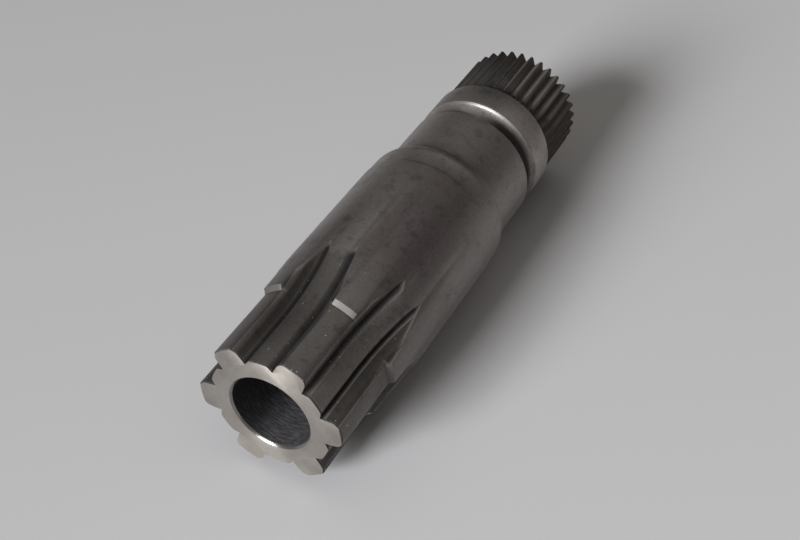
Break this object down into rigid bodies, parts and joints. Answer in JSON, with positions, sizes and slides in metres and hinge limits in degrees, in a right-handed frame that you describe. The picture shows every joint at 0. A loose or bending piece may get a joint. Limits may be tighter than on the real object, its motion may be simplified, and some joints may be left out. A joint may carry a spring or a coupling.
{
  "type": "splined shaft",
  "caption": "Short steel drive shaft with wide keys round a bored end and a fine serration on the other, behind a plain neck and a grooved collar.",
  "frame": {"origin": "centre of the serrated end face, which the shaft stands on", "axes": "+Z along the shaft's axis, from the serrated end to the bored and keyed end; +X through the middle of one wide key"},
  "size_m": [0.0234, 0.0234, 0.0796],
  "materials": {
    "steel": "dark satin turned steel with bright cut edges"
  },
  "bodies": {
    "root": {"splined_shaft": "steel"}
  },
  "joints": []
}
